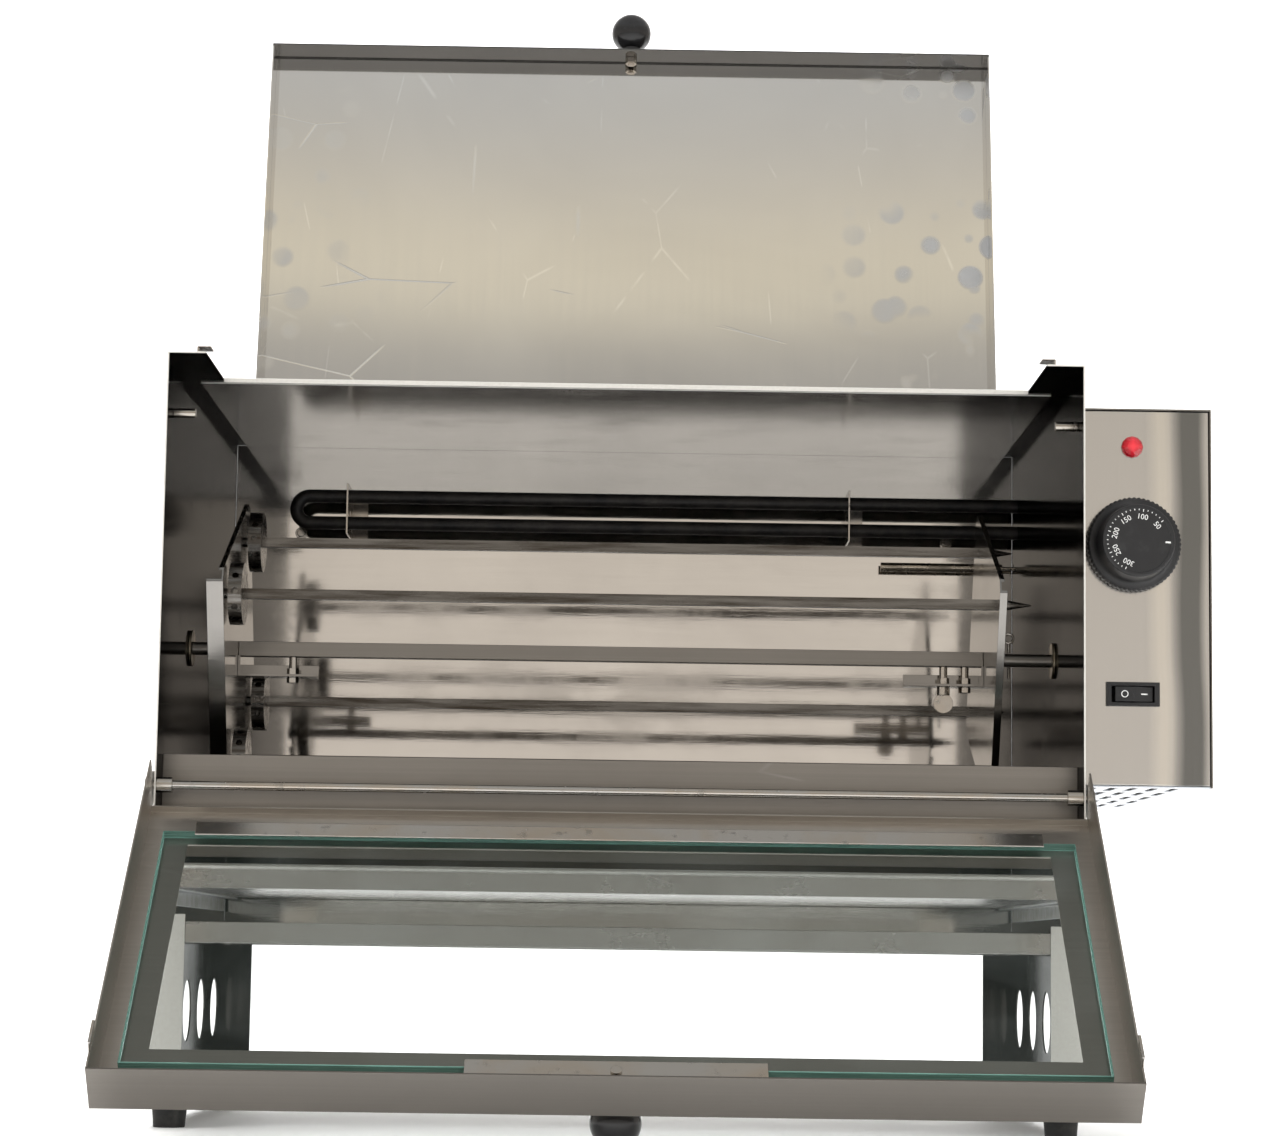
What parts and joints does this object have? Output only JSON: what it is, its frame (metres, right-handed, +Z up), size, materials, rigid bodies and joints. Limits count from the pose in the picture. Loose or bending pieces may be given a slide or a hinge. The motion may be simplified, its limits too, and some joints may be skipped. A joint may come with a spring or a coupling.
{
  "type": "rotisserie oven",
  "caption": "Free-standing electric rotisserie oven with a drop-down glass door, lift-up lid, square-ended skewer carousel, drip tray and side control box.",
  "frame": {"origin": "under the middle of the whole object as it stands with its door and lid open, at table height", "axes": "+Z up, the front faces -Y, +X to the right as seen from the front, where the control box is"},
  "size_m": [0.6134, 0.5532, 0.744],
  "materials": {
    "black_gloss": "black glossy plastic",
    "black_plastic": "black moulded plastic",
    "bright_steel": "bright plated steel",
    "bronze": "sintered bronze",
    "brushed_steel": "brushed stainless sheet with fine scratches",
    "copper": "drawn copper",
    "cream_plastic": "cream moulded plastic",
    "glass": "clear toughened glass with a green edge",
    "heater_black": "dark oxidised heater sheath",
    "mirror_steel": "mirror-polished stainless sheet",
    "red_lens": "clear red plastic",
    "rubber": "black rubber",
    "satin_steel": "satin stainless sheet",
    "white_paint": "pale powder coat",
    "zinc": "zinc-plated steel"
  },
  "bodies": {
    "cabinet": {"side_panel_left": "mirror_steel", "side_panel_right": "mirror_steel", "back_panel": "mirror_steel", "roof_panel": "mirror_steel", "apron_panel": "satin_steel", "base_rail_front": "brushed_steel", "base_rail_rear": "brushed_steel", "tray_runners": "zinc", "feet": "rubber", "foot_screws": "zinc", "door_hinge_rod": "bright_steel", "hinge_spacers": "bright_steel", "latch_studs": "bright_steel", "lid_rest_tabs": "bright_steel", "lid_hinge_brackets": "bright_steel", "lid_hinge_pins": "bright_steel", "back_panel_screws": "bright_steel", "heater_element": "heater_black", "heater_clips": "bright_steel", "heater_terminals": "bronze", "bearing_bush_left": "bronze", "bearing_bush_right": "bronze", "gear_motor": "zinc", "thermostat_body": "cream_plastic", "thermostat_bulb": "copper", "rocker_housing": "black_plastic", "lamp_lens": "red_lens", "lamp_body": "black_plastic", "terminal_block": "cream_plastic", "cable_gland": "black_plastic", "control_panel": "brushed_steel", "control_box_cover": "satin_steel", "vent_plate": "white_paint"},
    "door": {"door_frame": "satin_steel", "door_glass": "glass", "glass_retainer": "bright_steel", "glass_clip": "bright_steel", "clip_screw": "bright_steel", "door_catches": "bright_steel", "door_knob": "black_gloss", "door_knob_stud": "bright_steel"},
    "lid": {"lid_pan": "brushed_steel", "lid_knob": "black_gloss", "lid_knob_stud": "bright_steel"},
    "carousel": {"axle": "bright_steel", "wheel_left": "bright_steel", "wheel_right": "bright_steel", "hub_brackets": "bright_steel", "bracket_screws": "bright_steel", "thumb_screw": "bright_steel", "cotter_pin": "bright_steel", "drive_coupling": "bright_steel"},
    "skewer_1": {"skewer_1": "bright_steel"},
    "skewer_2": {"skewer_2": "bright_steel"},
    "skewer_3": {"skewer_3": "bright_steel"},
    "skewer_4": {"skewer_4": "bright_steel"},
    "dial": {"dial_knob": "black_plastic"},
    "rocker": {"rocker_button": "black_plastic"},
    "drip_tray": {"drip_tray": "brushed_steel"}
  },
  "joints": [
    {"name": "door_hinge", "type": "hinge", "parent": "cabinet", "child": "door", "pos_m": [-0.03625, -0.06944, 0.193], "axis": [-1, 0, 0], "range_deg": [0, 130.5]},
    {"name": "lid_hinge", "type": "hinge", "parent": "cabinet", "child": "lid", "pos_m": [-0.03625, 0.20156, 0.458], "axis": [1, 0, 0], "range_deg": [0, 101]},
    {"name": "carousel_spin", "type": "hinge", "parent": "cabinet", "child": "carousel", "pos_m": [-0.03625, 0.05956, 0.283], "axis": [1, 0, 0], "continuous": true},
    {"name": "skewer_1_spin", "type": "hinge", "parent": "carousel", "child": "skewer_1", "pos_m": [-0.03625, 0.08608, 0.35208], "axis": [1, 0, 0], "continuous": true},
    {"name": "skewer_2_spin", "type": "hinge", "parent": "carousel", "child": "skewer_2", "pos_m": [-0.03625, -0.00953, 0.30952], "axis": [1, 0, 0], "continuous": true},
    {"name": "skewer_3_spin", "type": "hinge", "parent": "carousel", "child": "skewer_3", "pos_m": [-0.03625, 0.03304, 0.21391], "axis": [1, 0, 0], "continuous": true},
    {"name": "skewer_4_spin", "type": "hinge", "parent": "carousel", "child": "skewer_4", "pos_m": [-0.03625, 0.12864, 0.25648], "axis": [1, 0, 0], "continuous": true},
    {"name": "dial_turn", "type": "hinge", "parent": "cabinet", "child": "dial", "pos_m": [0.26025, -0.04344, 0.34197], "axis": [0, 1, 0], "range_deg": [0, 270]},
    {"name": "rocker_tilt", "type": "hinge", "parent": "cabinet", "child": "rocker", "pos_m": [0.26025, -0.04044, 0.255], "axis": [0, 0, -1], "range_deg": [0, 14]},
    {"name": "tray_slide", "type": "slide", "parent": "cabinet", "child": "drip_tray", "axis": [0, -1, 0], "range_m": [0, 0.03]}
  ]
}
